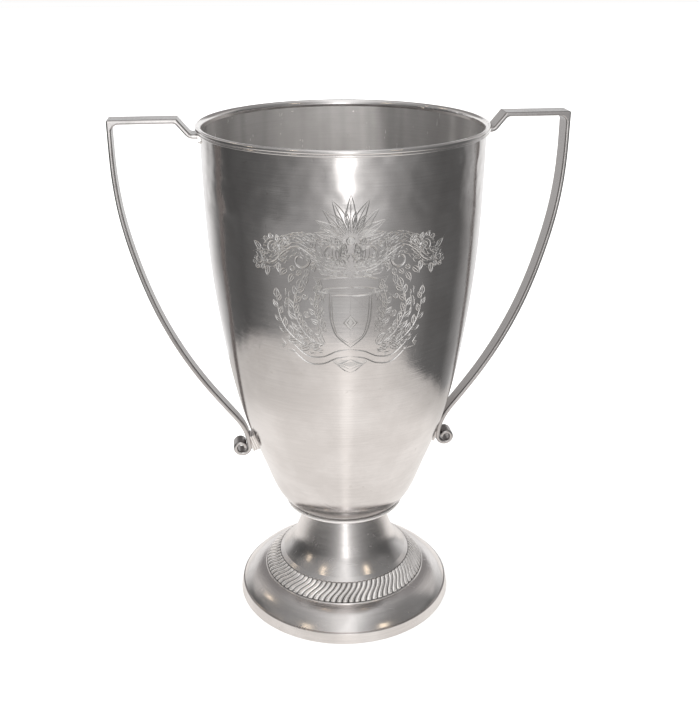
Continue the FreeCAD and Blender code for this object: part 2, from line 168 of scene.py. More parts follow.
def make_world():
    world = bpy.data.worlds.new("soft_room")
    world.use_nodes = True
    net = Net(world.node_tree)
    direction = net.add("TexCoord").outputs["Generated"]
    up = net.add("SeparateXYZ", {0: direction}).outputs["Z"]
    walls = net.ramp(azimuth_of(net, direction), azimuth_stops(WALLS), "LINEAR")
    lean = net.math("MULTIPLY_ADD", net.dot(direction, TO_RIGHT), 0.5, 0.5)
    ceiling = net.ramp(lean, [(0.5 + 0.5 * at, level) for at, level in CEILING], "LINEAR")
    room = net.mix(net.step(up, 0.28, 0.55), walls, ceiling)
    away = net.math("MULTIPLY", net.dot(direction, TO_CAMERA), -1.0)
    behind = net.math("MULTIPLY", net.step(away, 0.25, 0.5), net.step(up, 0.26, 0.34))
    behind = net.math("MULTIPLY", behind, net.step(up, 0.75, 0.92, 1.0, 0.0))
    sideways = net.step(net.math("ABSOLUTE", net.dot(direction, TO_RIGHT)), 0.45, 0.72)
    patch = net.mix(sideways, (0.27, 0.26, 0.26, 1), (0.60, 0.585, 0.575, 1))
    room = net.mix(behind, room, patch)
    for azimuth, height, size in LAMPS:
        facing = net.dot(direction, lamp_direction(azimuth, height))
        edge = math.cos(math.radians(size))
        room = net.mix(net.step(facing, edge - 0.0012, edge + 0.0008), room, LAMP_LIGHT)
    seen = net.add("LightPath").outputs["Is Camera Ray"]
    room = net.mix(seen, room, (1.0, 1.0, 0.995, 1))        # a plain backdrop, seen directly
    back = net.add("Background", {"Color": room, "Strength": 1.0})
    out = net.add("OutputWorld")
    world.node_tree.links.new(back.outputs[0], out.inputs["Surface"])
    bpy.context.scene.world = world


def card(name, corners, material):
    mesh = bpy.data.meshes.new(name)
    mesh.from_pydata(corners, [], [list(range(len(corners)))])
    mesh.materials.append(material)
    piece = bpy.data.objects.new(name, mesh)
    bpy.context.scene.collection.objects.link(piece)
    return piece


def floor_material():
    material = bpy.data.materials.new("pale_floor")
    material.use_nodes = True
    net = Net(material.node_tree)
    where = net.add("TexCoord").outputs["Object"]
    cloud = net.noise(where, 3.0, 4.0)
    grain = net.noise(where, 900.0, 2.0)
    tone = net.mix(net.step(cloud, 0.35, 0.65), (0.86, 0.86, 0.855, 1), (0.88, 0.88, 0.88, 1))
    bump = net.add("Bump", {"Height": grain, "Strength": 0.05, "Distance": 0.0002})
    shader = net.add("BsdfPrincipled", {"Base Color": tone, "Roughness": 0.75,
                                        "Normal": bump.outputs[0]})
    out = net.add("OutputMaterial")
    material.node_tree.links.new(shader.outputs[0], out.inputs["Surface"])
    return material


def mirrored_table_material():
    """What the metal mirrors below it: a pale cloth round the foot, then a dim room."""
    material = bpy.data.materials.new("mirrored_table")
    material.use_nodes = True
    net = Net(material.node_tree)
    where = net.add("TexCoord").outputs["Object"]
    reach = net.add("VectorMath", {0: where}, operation="LENGTH").outputs["Value"]
    azimuth = azimuth_of(net, where)
    wave = net.noise(where, 7.0, 2.0)
    edge = net.ramp(azimuth, azimuth_stops(CLOTH_EDGE), "LINEAR")
    edge = net.math("ADD", edge, net.math("MULTIPLY_ADD", wave, 0.07, -0.035))
    inside = net.step(net.math("SUBTRACT", edge, reach), -0.004, 0.008)
    near = net.ramp(azimuth, azimuth_stops(TABLE_NEAR), "LINEAR")
    far = net.ramp(azimuth, azimuth_stops(WALLS), "LINEAR")
    room = net.mix(net.step(reach, 0.75, 1.15), near, far)
    shade = net.ramp(net.math("MULTIPLY", reach, 2.0), CLOTH_LIGHT, "LINEAR")
    sides = net.ramp(azimuth, azimuth_stops(CLOTH_SIDES), "LINEAR")
    sides = net.mix(net.step(reach, 0.19, 0.30), (1.0, 1.0, 1.0, 1), sides)
    gleam = net.ramp(azimuth, azimuth_stops(CLOTH_GLEAM), "LINEAR")
    cloth = net.mix(1.0, net.mix(1.0, shade, sides, blend="MULTIPLY"), gleam, blend="MULTIPLY")
    cloth = net.mix(1.0, cloth, (1.0, 0.97, 0.94, 1), blend="MULTIPLY")
    light = net.mix(inside, room, cloth)
    glow = net.add("Emission", {"Color": light, "Strength": 1.0})
    out = net.add("OutputMaterial")
    material.node_tree.links.new(glow.outputs[0], out.inputs["Surface"])
    return material


def square(half, z):
    return [(-half, -half, z), (half, -half, z), (half, half, z), (-half, half, z)]


def make_stage():
    floor = card("floor", square(FLOOR_HALF, 0.0), floor_material())
    floor.visible_glossy = False
    table = card("mirrored_table", square(FLOOR_HALF, -0.0004), mirrored_table_material())
    table.visible_camera = False
    table.visible_diffuse = False
    table.visible_shadow = False
    table.visible_transmission = False
    sky = bpy.data.lights.new("soft_sky", "SUN")
    sky.energy = 4.3
    sky.angle = math.radians(110)
    lamp = bpy.data.objects.new("soft_sky", sky)
    lamp.rotation_euler = (math.radians(8), math.radians(-6), 0)
    lamp.visible_glossy = False
    bpy.context.scene.collection.objects.link(lamp)


def make_camera():
    data = bpy.data.cameras.new("view")
    data.lens = CAM_LENS
    data.sensor_width = 36.0
    data.clip_start, data.clip_end = 0.01, 50.0
    camera = bpy.data.objects.new("view", data)
    spot = TO_CAMERA * CAM_DISTANCE
    camera.location = (spot.x, spot.y, CAM_HEIGHT)
    camera.rotation_euler = (math.radians(90 - CAM_PITCH), 0,
                             -math.radians(CAM_TURN + CAM_PAN))
    bpy.context.scene.collection.objects.link(camera)
    bpy.context.scene.camera = camera


# ---- metal ---------------------------------------------------------------------------
SPIN_LINES = 2600.0             # noise cells per metre across the spin lines
SPIN_STRETCH = 1.3              # cells per radian along them
BRUSH_SHARE = 0.42              # the broader brushed lines, against the spin lines
CLOUD_SCALE, SPOT_SCALE, DENT_SCALE, RIPPLE_SCALE = 26.0, 210.0, 17.0, 62.0
LINE_HEIGHT, SPOT_HEIGHT, SCRATCH_DEPTH, RIPPLE_HEIGHT = 0.00002, 0.00002, 0.000012, 0.0009
RIPPLE_FADE = 0.03              # the small dents come in over this height
# the first two levels are how much tone is left under the painted dark reflection and the painted valley
# shade
PAINTED_REFLECTION_TONE, VALLEY_PAINTED_SHADE, BRUSH_DARK = 0.58, 0.12, 0.945    # how much of the tone is left
COLLAR_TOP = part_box("collar")[1][2]
LIP_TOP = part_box("rim_lip")[1][2]
# band above the collar where a dark reflection of the neck and foot is painted
PAINTED_REFLECTION_LOW, PAINTED_REFLECTION_TOP = COLLAR_TOP - 0.0004, COLLAR_TOP + 0.0121
DENTS_FROM = LIP_TOP - 0.0645   # the mouth has small dents above this height
LOBES_TOP, LOBES_LOW = (0.0453, 0.0283), (0.0546, 0.0193)    # radius and height of the lobes' cone


class Place:
    """Where a shaded spot is on its piece, with its angle and radius about the axis."""

    def __init__(self, net):
        self.where = net.add("TexCoord").outputs["Object"]
        part = net.add("SeparateXYZ", {0: self.where})
        self.x, self.y, self.z = (part.outputs[axis] for axis in "XYZ")
        self.angle = net.math("ARCTAN2", self.y, self.x)
        squares = net.math("ADD", net.math("MULTIPLY", self.x, self.x),
                           net.math("MULTIPLY", self.y, self.y))
        self.radius = net.math("SQRT", squares)
        self.across = net.math("ADD", net.math("MULTIPLY", self.z, SPIN_LINES),
                               net.math("MULTIPLY", self.radius, SPIN_LINES))


def fine_lines(net, at, along):
    """Noise drawn out into lines round the axis, or along the strap."""
    if along == "z":
        drawn = net.add("CombineXYZ", {0: net.math("MULTIPLY", at.angle, SPIN_STRETCH),
                                       1: at.across, 2: 0.0})
    else:
        drawn = net.add("VectorMath", {0: at.where, 1: (300.0, SPIN_LINES, 300.0)},
                        operation="MULTIPLY")
    return net.noise(drawn.outputs[0], 1.0, 3.0, 0.65)


def scratches(net, at):
    tilt = net.add("Mapping", {"Vector": at.where, "Rotation": (0.5, 0.3, 0.9),
                               "Scale": (30.0, 900.0, 120.0)})
    return net.step(net.noise(tilt.outputs[0], 1.0, 2.0), 0.66, 0.74)


def brushed_shade(net, at):
    drawn = net.add("CombineXYZ", {0: net.math("MULTIPLY", at.angle, 1.6),
                                   1: net.math("MULTIPLY", at.across, BRUSH_SHARE), 2: 4.0})
    brushed = net.noise(drawn.outputs[0], 1.0, 3.0, 0.7)
    return net.step(brushed, 0.32, 0.62, BRUSH_DARK, 1.0)


def upright_shade(net, at, amount):
    """Painted reflection streaks, soft and upright, and painted shade towards the two handles."""
    upright = net.add("CombineXYZ", {0: net.math("MULTIPLY", at.angle, 2.6),
                                     1: net.math("MULTIPLY", at.z, 3.0), 2: 0.0})
    band = net.noise(upright.outputs[0], 1.0, 2.5, 0.5, 0.6)
    facing = net.math("DIVIDE", at.y, at.radius)
    return net.math("MULTIPLY", net.step(band, 0.34, 0.66, 1.0 - amount, 1.0),
                    net.step(facing, 0.84, 0.97, 0.55, 1.0))


def valley_shade(net, at, cone):
    """Painted shade below a cone given by its normal's cosine and sine and its distance."""
    cosine, sine, distance = cone
    above = net.math("MULTIPLY_ADD", at.z, sine, -distance)
    above = net.math("MULTIPLY_ADD", at.radius, cosine, above)
    return net.step(above, -0.0004, 0.0002, VALLEY_PAINTED_SHADE, 1.0)


def painted_low_reflection(net, at, cloud, highest):
    """Painted dark reflection of the shaded neck and foot above the collar; it climbs to the given
    height at the front and back.
    """
    facing = net.math("ABSOLUTE", net.math("DIVIDE", at.y, at.radius))
    top = net.step(facing, 0.35, 0.85, PAINTED_REFLECTION_LOW, highest)
    below = net.math("SUBTRACT", top, net.math("MULTIPLY_ADD", cloud, 0.0015, at.z))
    return net.step(below, -0.0003, 0.0006, 1.0, PAINTED_REFLECTION_TONE)


def metal(name, light, dark, rough, lines=1.0, dents=0.0, along="z", painted_shade_sides=None,
          metallic=1.0, columns=0.0, valleys=None, reflection_top=None, ripple=None):
    """Polished old metal: spin lines, fine scratches, tarnish clouds and shallow dents; some options
    paint shade and reflection into the tone.

    The sides argument gives faces that do not look along Y a painted shade tone; columns adds painted
    reflection streaks and painted shade; valleys paints shade below a cone (cosine, sine, distance);
    the argument after valleys is the height up to which a dark reflection is painted at the front and
    back; ripple is the height where small dents begin.
    """
    material = bpy.data.materials.new(name)
    material.use_nodes = True
    net = Net(material.node_tree)
    at = Place(net)
    streak = fine_lines(net, at, along)
    cloud = net.noise(at.where, CLOUD_SCALE, 5.0, 0.6)
    spots = net.noise(at.where, SPOT_SCALE, 4.0, 0.62)
    dent = net.noise(at.where, DENT_SCALE, 1.5, 0.4)
    scratched = scratches(net, at)

    tone = net.mix(net.step(cloud, 0.36, 0.66), (*dark, 1), (*light, 1))
    pitted = net.step(spots, 0.66, 0.78, 0.0, 0.35)
    tone = net.mix(pitted, tone, (dark[0] * 0.6, dark[1] * 0.57, dark[2] * 0.52, 1))
    if along == "z":
        tone = net.mix(1.0, tone, brushed_shade(net, at), blend="MULTIPLY")
    # painted shade: faces that do not look along Y get a darker tone
    if painted_shade_sides:
        facing = net.add("SeparateXYZ", {0: net.add("TexCoord").outputs["Normal"]}).outputs["Y"]
        edgewise = net.step(net.math("ABSOLUTE", facing), 0.35, 0.85)
        tone = net.mix(edgewise, (*painted_shade_sides, 1), tone)
    # painted reflection streaks and painted shade towards the handles
    if columns:
        tone = net.mix(1.0, tone, upright_shade(net, at, columns), blend="MULTIPLY")
    # painted shade in the valleys below the cone
    if valleys:
        tone = net.mix(1.0, tone, valley_shade(net, at, valleys), blend="MULTIPLY")
    # painted dark reflection above the collar
    if reflection_top:
        tone = net.mix(1.0, tone, painted_low_reflection(net, at, cloud, reflection_top), blend="MULTIPLY")

    gloss = net.math("MULTIPLY_ADD", net.math("SUBTRACT", streak, 0.5), 0.10 * lines, rough)
    gloss = net.math("MULTIPLY_ADD", net.math("SUBTRACT", cloud, 0.5), -0.16, gloss)
    gloss = net.math("MULTIPLY_ADD", scratched, 0.10, gloss)

    height = net.math("MULTIPLY", streak, LINE_HEIGHT * lines)
    height = net.math("MULTIPLY_ADD", scratched, -SCRATCH_DEPTH, height)
    height = net.math("MULTIPLY_ADD", spots, SPOT_HEIGHT, height)
    height = net.math("MULTIPLY_ADD", dent, dents, height)
    if ripple:
        small = net.math("MULTIPLY", net.noise(at.where, RIPPLE_SCALE, 1.0, 0.4),
                         net.step(at.z, ripple, ripple + RIPPLE_FADE))
        height = net.math("MULTIPLY_ADD", small, RIPPLE_HEIGHT, height)
    bump = net.add("Bump", {"Height": height, "Strength": 1.0, "Distance": 1.0})
    shader = net.add("BsdfPrincipled", {"Base Color": tone, "Metallic": metallic,
                                        "Roughness": gloss, "Normal": bump.outputs[0]})
    out = net.add("OutputMaterial")
    material.node_tree.links.new(shader.outputs[0], out.inputs["Surface"])
    return material


def cone_through(top, low):
    """Cosine and sine of the normal, and the distance, of a cone through two (radius, height)."""
    slope = math.atan2(low[0] - top[0], top[1] - low[1])
    cosine, sine = math.cos(slope), math.sin(slope)
    return cosine, sine, top[0] * cosine + top[1] * sine


def dress(names, material):
    for name in names:
        mesh = nodes[name].data
        mesh.materials.clear()
        mesh.materials.append(material)


LIGHT, DARK = (0.80, 0.770, 0.757), (0.71, 0.678, 0.662)
# the gadroon's pale tone, painted lighter than the bowl's: painted light for glints on its lobes
GADROON_PAINTED_BRIGHT = (0.90, 0.87, 0.85)
TRIM_LIGHT = (0.90, 0.875, 0.86)
COLLAR_LIGHT, COLLAR_DARK = (0.94, 0.91, 0.89), (0.84, 0.81, 0.79)
GADROON_DARK = (0.70, 0.67, 0.65)
# the lining's tones, painted lighter than the outside's: painted light for the inside of the bowl
LINING_LIT_PALE, LINING_LIT_DEEP = (0.92, 0.89, 0.87), (0.80, 0.77, 0.75)
GROOVE_LIGHT, GROOVE_DARK = (0.84, 0.82, 0.805), (0.70, 0.68, 0.665)
# the third strap tone is painted shade for the straps' broad faces
STRAP, STRAP_WORN, STRAP_PAINTED_SHADE = (0.64, 0.615, 0.605), (0.54, 0.515, 0.505), (0.28, 0.262, 0.255)
SHEET_DARK, STEEL_DARK = (0.5, 0.48, 0.46), (0.45, 0.43, 0.40)


def bowl_materials():
    """Outside, lining and cut grooves of the bowl."""
    # the outside has a painted dark reflection of the neck and foot above the collar
    outside = metal("bowl_metal", LIGHT, DARK, 0.115, dents=0.0014, reflection_top=PAINTED_REFLECTION_TOP,
                    ripple=DENTS_FROM)
    # the lining is painted lighter and part diffuse, with painted reflection streaks and painted shade
    lining = metal("lining_metal", LINING_LIT_PALE, LINING_LIT_DEEP, 0.22, dents=0.0014,
                   metallic=0.40, columns=0.42)
    return [outside, lining, metal("groove_metal", GROOVE_LIGHT, GROOVE_DARK, 0.34)]


def dress_cad_pieces():
    dress(["neck", "foot_dome", "foot_band"],
          metal("foot_metal", LIGHT, DARK, 0.20, 1.6, dents=0.0007))
    # the gadroon is painted paler and part diffuse for glints on its lobes, with painted shade in the
    # valleys between them
    dress(["gadroon_band"], metal("gadroon_metal", GADROON_PAINTED_BRIGHT, GADROON_DARK, 0.26, 0.2,
                                  metallic=0.8, valleys=cone_through(LOBES_TOP, LOBES_LOW)))
    dress(["collar"], metal("collar_metal", COLLAR_LIGHT, COLLAR_DARK, 0.30, 0.2, metallic=0.6))
    dress(["rim_lip", "rim_bead", "gadroon_wire", "rim_pad_left", "rim_pad_right",
           "scroll_pad_left", "scroll_pad_right"],
          metal("trim_metal", TRIM_LIGHT, LIGHT, 0.15, 0.4))
    # the straps' broad faces get a painted shade tone
    dress(["handle_left", "handle_right"],
          metal("handle_metal", STRAP, STRAP_WORN, 0.22, along="y", painted_shade_sides=STRAP_PAINTED_SHADE))
    dress(["bowl_disc", "foot_plate"], metal("inner_metal", DARK, SHEET_DARK, 0.42))
    dress(["stud", "washer", "nut"], metal("fixing_metal", DARK, STEEL_DARK, 0.35))


# ---- engraved ornament: strokes in millimetres (across, up), centred on the cup's front ----
ORNAMENT_ANGLE = math.radians(-4.0)     # where its middle sits, from the front towards the right
ORNAMENT_RADIUS = 88.0                  # widths across are turned into angles with this radius
PATCH_ACROSS = (-68.0, 68.0)
PATCH_UP = (190.0, 310.0)
PATCH_GRID = 2.5
LINE_DEPTH = 0.22
COLUMNS = 220


def smooth(points, step=1.0):
    """Catmull-Rom curve through the points, about one sample per step."""
    pts = [points[0], *points, points[-1]]
    out = []
    for a, b, c, d in zip(pts, pts[1:], pts[2:], pts[3:]):
        span = math.dist(b, c)
        count = max(1, round(span / step))
        for i in range(count):
            t = i / count
            out.append(tuple(
                0.5 * (2 * b[k] + (c[k] - a[k]) * t + (2 * a[k] - 5 * b[k] + 4 * c[k] - d[k]) * t ** 2
                       + (3 * b[k] - a[k] - 3 * c[k] + d[k]) * t ** 3) for k in (0, 1)))
    return out + [tuple(points[-1])]


def circle(x, y, r, start=0.0, sweep=360.0, r_end=None):
    """Points on an arc, or on a spiral if r_end is given; degrees, anticlockwise."""
    r_end = r if r_end is None else r_end
    count = max(6, int(abs(sweep) * max(r, r_end) / 70))
    out = []
    for i in range(count + 1):
        t = i / count
        a = math.radians(start + sweep * t)
        out.append((x + (r + (r_end - r) * t) * math.cos(a), y + (r + (r_end - r) * t) * math.sin(a)))
    return out


class Ornament:
    """Collects strokes; everything drawn with pair=True is mirrored about the middle."""

    def __init__(self):
        self.strokes = []

    def draw(self, points, width=0.62, pair=True):
        self.strokes.append((points, width))
        if pair:
            self.strokes.append(([(-x, y) for x, y in points], width))

    def blade(self, x, y, heading, length, wide, bend=0.0, veins=4, width=0.55, pair=True):
        """Leaf or feather: two edges, a midrib and short veins; heading in degrees from up."""
        spine = []
        for i in range(9):
            t = i / 8
            a = math.radians(heading + bend * t * 0.5)
            spine.append((x + length * t * math.sin(a), y + length * t * math.cos(a)))

        def side(t, sign, share=1.0):
            k = min(int(t * 8), 7)
            (x0, y0), (x1, y1) = spine[k], spine[k + 1]
            f = t * 8 - k
            n = math.dist((x0, y0), (x1, y1))
            reach = sign * share * wide * math.sin(math.pi * t ** 0.8)
            return (x0 + (x1 - x0) * f + (y1 - y0) / n * reach,
                    y0 + (y1 - y0) * f - (x1 - x0) / n * reach)
        for sign in (-1, 1):
            self.draw([side(i / 8, sign) for i in range(9)], width, pair)
            for v in range(veins):
                t = 0.16 + 0.66 * (v + 0.5) / veins
                self.draw([side(t, sign, 0.08), side(t + 0.09, sign, 0.78)], width * 0.75, pair)
        self.draw(spine[:-1], width * 0.9, pair)

    def spray(self, points, count, length, wide, spread=46.0, taper=0.45):
        """Stem with leaves on alternate sides."""
        stem = smooth(points, 1.2)
        self.draw(stem, 0.7)
        for i in range(count):
            t = (i + 0.6) / count
            k = min(int(t * (len(stem) - 1)), len(stem) - 2)
            (x0, y0), (x1, y1) = stem[k], stem[k + 1]
            along = math.degrees(math.atan2(x1 - x0, y1 - y0))
            size = length * (1 - taper * t)
            sign = 1 if i % 2 else -1
            self.blade(x0, y0, along + sign * spread, size, wide * (1 - 0.3 * t), -sign * 25, 3)
        (x0, y0), (x1, y1) = stem[-2], stem[-1]
        self.blade(x1, y1, math.degrees(math.atan2(x1 - x0, y1 - y0)), length * 0.7, wide, 0, 3)

    def shading(self, points, offsets, width=0.5):
        """Broken lines that run beside a curve, like hatching cut along it."""
        line = smooth(points, 1.0)
        for offset in offsets:
            at = random.randint(0, 3)
            while at < len(line) - 4:
                count = random.randint(4, 8)
                drift = random.uniform(-0.5, 0.5)
                piece = []
                for k in range(at, min(at + count, len(line) - 1)):
                    (x0, y0), (x1, y1) = line[k], line[k + 1]
                    n = math.dist((x0, y0), (x1, y1))
                    h = offset + drift + 0.35 * math.sin(1.5 * k + 2.0 * offset)
                    piece.append((x0 - (y1 - y0) / n * h, y0 + (x1 - x0) / n * h))
                if len(piece) > 2 and piece[0][0] > 0.3:
                    self.draw(piece, width)
                at += count + random.randint(0, 1)

    def volute(self, x, y, r, start, sweep, leaves, leaf_long):
        """Spiral with acanthus lobes fanned round its outer side."""
        self.draw(circle(x, y, r, start, sweep, r * 0.18), 0.75)
        self.draw(circle(x, y, r * 0.84, start, sweep * 0.8, r * 0.3), 0.5)
        for i in range(leaves):
            a = start + sweep * 0.52 * (i + 0.3) / leaves
            c, s = math.cos(math.radians(a)), math.sin(math.radians(a))
            lean = 34 if sweep > 0 else -34
            shrink = 1 - 0.09 * i
            self.blade(x + r * 0.96 * c, y + r * 0.96 * s, 90 - a - lean, leaf_long * shrink,
                       1.35, -lean, 2)


def palmette(art):
    """Upright fan of feathers at the top."""
    def feather(heading, start, length, wide, bend, veins, pair=True):
        a = math.radians(heading)
        art.blade(start * math.sin(a), 277.0 + start * math.cos(a), heading, length, wide, bend,
                  veins, pair=pair)
    feather(0, 4.4, 21.5, 2.6, 0, 7, False)
    for k, (length, wide) in enumerate(((20.5, 2.5), (19.5, 2.4), (18.5, 2.3), (16.5, 2.1))):
        feather(20 + 19 * k, 4.4, length, wide, 12 - 3 * k, 6)
        feather(10 + 19.5 * k, 8.0, 9.0, 1.2, 0, 2)
    art.draw(circle(0, 276.8, 2.4), 0.6, False)
    art.draw(circle(0, 276.8, 1.2), 0.5, False)
    art.draw(circle(4.6, 275.6, 1.7, 90, -250, 0.8), 0.6)


def acanthus(art):
    """Wide band of leafy scrolls, springing from the middle to both sides."""
    art.draw(smooth([(0, 259.5), (7, 259.6), (15, 262), (23, 268.8), (31, 272.8), (39, 269),
                     (45, 263.2), (51.5, 261), (57, 264)], 1.2), 0.8)
    art.draw(smooth([(2, 261.8), (8, 261.4), (14.5, 263.8), (22, 270.6), (31, 274.8), (40, 270.8),
                     (46.5, 264.8), (52, 262.8)], 1.2), 0.5)
    art.volute(11.5, 269.4, 6.6, 250, -420, 6, 6.6)
    art.volute(29.0, 264.8, 6.2, 110, 430, 6, 6.4)
    art.volute(46.4, 270.2, 5.6, 250, -420, 6, 6.0)
    art.volute(56.6, 262.6, 3.4, 100, 400, 4, 4.6)
    for x, y, heading in ((4, 262, 20), (19.5, 264.5, 130),
                          (22.5, 271.5, -20), (35.5, 273.4, 30), (40.5, 268.5, 60),
                          (37.5, 259.0, 120), (43, 262.5, 175), (50, 259.6, 160), (54.5, 268.5, 40),
                          (20.5, 274.5, 8), (3.2, 268.5, 12), (26.0, 256.5, 165), (33.5, 256.5, 140)):
        art.blade(x, y, heading, 6.4, 1.5, 18, 2)
    for k in range(5):
        stalk = [(1.2 + 1.6 * k, 264.5 - 0.4 * k), (2.4 + 2.0 * k, 268.5), (1.6 + 2.2 * k, 273)]
        art.draw(smooth(stalk), 0.42)
    art.shading([(1, 261.5), (10, 260.6), (16, 263), (23, 269.6), (31, 273.2), (39, 269), (46, 263.6),
                 (53, 262), (60, 265)], [-4.6 + 1.25 * k for k in range(10)])
    art.shading([(4, 273), (12, 276.5), (22, 279), (31, 279.5), (39, 276.5), (46, 274.5), (54, 273)],
                [-2.2 + 1.2 * k for k in range(4)])


def banner(art, points, tall, out):
    """Plain ribbon: two parallel edges, hatched fold ends and forked tails."""
    line = smooth(points, 1.2)
    art.draw(line, 0.85)
    art.draw([(x, y - tall) for x, y in line], 0.85)
    x, y = line[-1]
    art.draw([(x, y), (x, y - tall)], 0.6)
    tail_low, notch, tail_top = ((x + out, y - tall - 0.6), (x + out - 2.4, y - tall * 0.5),
                                 (x + out + 0.4, y + 1.2))
    art.draw([(x - 2.6, y - tall + 0.2), (x - 2.2, y - tall - 2.2), tail_low], 0.55)
    art.draw([tail_low, notch, tail_top], 0.55)
    art.draw([tail_top, (x, y + 0.4)], 0.55)
    for k in range(4):
        art.draw([(x + 0.8, y - 0.9 - k * tall / 4.6), (x + out * 0.55, y - 0.6 - k * tall / 4.6)], 0.42)


def shield(art):
    """Heater shield with a doubled edge, halved by hatching, and a small lozenge."""
    for inset, width in ((0.0, 1.0), (1.5, 0.6)):
        x, top, low = 12.6 - inset, 246.6 - inset, 212.6 + inset * 1.6
        art.draw([(0, top), (x, top)], width)
        art.draw(smooth([(x, top), (x, 238), (x * 0.93, 229), (x * 0.66, 220), (0, low)]), width)
    art.draw([(0, 245.1), (0, 232.4)], 0.42, False)
    art.draw([(0, 224.4), (0, 215.4)], 0.42, False)
    for k in range(13):
        y = 243.2 - 2.15 * k
        reach = 11.0 * (1 - max(0.0, (236 - y) / 22.5) ** 2.2)
        gap = max(0.0, 4.6 ** 2 - (y - 228.4) ** 2) ** 0.5
        art.draw([(-max(0.8, gap), y), (-reach, y)], 0.4, False)
    for k in range(6):
        art.draw([(max(1.4, 0.2 + 2.1 * k), 244.2), (11.3, 234.6 + 1.9 * k)], 0.4, False)
        art.draw([(4.6, 231.5 - 2.7 * k), (max(5.2, 10.8 - 1.0 * k), 226.6 - 1.9 * k)], 0.4, False)
    for reach, width in ((4.0, 0.7), (2.0, 0.5)):
        art.draw([(0, 228.4 + reach * 1.15), (reach, 228.4), (0, 228.4 - reach * 1.15)], width)


def lower_work(art):
    """Laurel sprays beside the shield, a folded ribbon and a lozenge under it."""
    art.spray([(15.6, 213.5), (24, 217), (31, 225), (34.6, 236), (31, 248)], 13, 9.6, 1.9)
    art.spray([(20, 212.5), (31, 214.5), (40, 221.5), (44.6, 231), (45.4, 241)], 11, 8.6, 1.8)
    art.spray([(16.2, 224), (20.4, 230), (22, 239), (19, 250)], 9, 6.4, 1.4)
    art.draw(circle(26.5, 233.0, 2.6, 200, 380, 0.7), 0.6)
    art.draw(circle(38.6, 240.0, 2.6, -20, -380, 0.7), 0.6)
    art.draw(circle(27.4, 243.6, 2.2, 150, 400, 0.6), 0.6)
    art.shading([(18.5, 215), (26, 219), (32.5, 227), (36, 237), (35, 248)], [-3.6, -2.2, 2.2, 3.6])
    art.shading([(17, 219), (19.5, 229), (19.5, 240), (17.5, 251)], [-1.6, 0.0, 1.6, 3.0])
    art.shading([(16, 210.6), (24, 209.6), (32, 212.6), (40, 219)], [-1.4, 0.0, 1.6, 3.2])
    banner(art, [(0, 211.4), (9, 210.0), (18, 206.2), (28, 206.6), (38, 214.5)], 4.6, 6.0)
    lozenge = [(0, 204.9), (8.2, 201.6), (0, 198.2)]
    art.draw(lozenge, 0.6)
    art.draw([(0, 203.3), (4.6, 201.6), (0, 199.9)], 0.45)
    art.draw([(11.2, 203.4), (3.4, 197.4), (0, 196.0)], 0.6)
    art.draw([(14.6, 203.6), (11.2, 203.4)], 0.5)
    for k in range(5):
        art.draw([(10.4 - 1.3 * k, 202.0 - 0.95 * k), (8.4 - 1.3 * k, 201.4 - 0.8 * k)], 0.4)


def draw_ornament():
    art = Ornament()
    palmette(art)
    acanthus(art)
    banner(art, [(0, 256.2), (8, 255.9), (16.4, 254.6)], 6.2, 5.4)
    shield(art)
    lower_work(art)
    return art.strokes


def wobble(points, amount):
    """Hand-cut lines are never quite true."""
    shift = (random.uniform(-1, 1) * amount, random.uniform(-1, 1) * amount)
    return [(x + shift[0] + random.uniform(-1, 1) * amount * 0.35,
             y + shift[1] + random.uniform(-1, 1) * amount * 0.35) for x, y in points]


def groove_outline(points, width):
    """Left edge, middle and right edge of a tapered groove, with its half width at each point."""
    count = len(points) - 1
    left, middle, right, halves = [], [], [], []
    for i, (x, y) in enumerate(points):
        (x0, y0), (x1, y1) = points[max(i - 1, 0)], points[min(i + 1, count)]
        n = math.dist((x0, y0), (x1, y1)) or 1.0
        t = i / count
        half = 0.5 * width * max(0.12, min(1.0, 5 * t + 0.12, 5 * (1 - t) + 0.12))
        nx, ny = -(y1 - y0) / n * half, (x1 - x0) / n * half
        left.append((x + nx, y + ny))
        middle.append((x, y))
        right.append((x - nx, y - ny))
        halves.append(half)
    return left, middle, right, halves


class DepthMap:
    """Depth of the deepest groove over any point, found through a coarse grid of segments."""

    def __init__(self):
        self.cells = {}

    def add(self, middle, halves, depth):
        for i in range(len(middle) - 1):
            a, b = middle[i], middle[i + 1]
            item = (a, b, halves[i], halves[i + 1], depth)
            for cx in range(int(min(a[0], b[0]) - 1.0) - 1, int(max(a[0], b[0]) + 1.0) + 2):
                for cy in range(int(min(a[1], b[1]) - 1.0), int(max(a[1], b[1]) + 1.0) + 2):
                    self.cells.setdefault((cx, cy), []).append(item)

    def at(self, x, y):
        best = 0.0
        for a, b, ha, hb, depth in self.cells.get((math.floor(x), math.floor(y)), ()):
            dx, dy = b[0] - a[0], b[1] - a[1]
            t = ((x - a[0]) * dx + (y - a[1]) * dy) / max(dx * dx + dy * dy, 1e-12)
            t = min(1.0, max(0.0, t))
            half = ha + (hb - ha) * t
            gap = math.hypot(x - a[0] - dx * t, y - a[1] - dy * t)
            best = max(best, depth * half / 0.35 * (1 - gap / half))
        return best


class Profile:
    """Radius of the bowl's outer or inner face by height, read from the CAD node's own vertices."""

    def __init__(self, mesh, outer):
        sign = 1 if outer else -1
        rows = {}
        for v in mesh.vertices:
            r = math.hypot(v.co.x, v.co.y)
            if r > 0.03 and (v.normal.x * v.co.x + v.normal.y * v.co.y) * sign > 0.5 * r:
                rows[round(v.co.z, 5)] = r
        self.z = sorted(rows)
        self.r = [rows[z] for z in self.z]

    def radius(self, z):
        return float(numpy.interp(z, self.z, self.r))

    def slope(self, z, reach=0.002):
        low, high = max(self.z[0], z - reach), min(self.z[-1], z + reach)
        return (self.radius(high) - self.radius(low)) / (high - low)


def spread(start, stop, step):
    count = max(1, round(abs(stop - start) / step))
    return [start + (stop - start) * i / count for i in range(count + 1)]


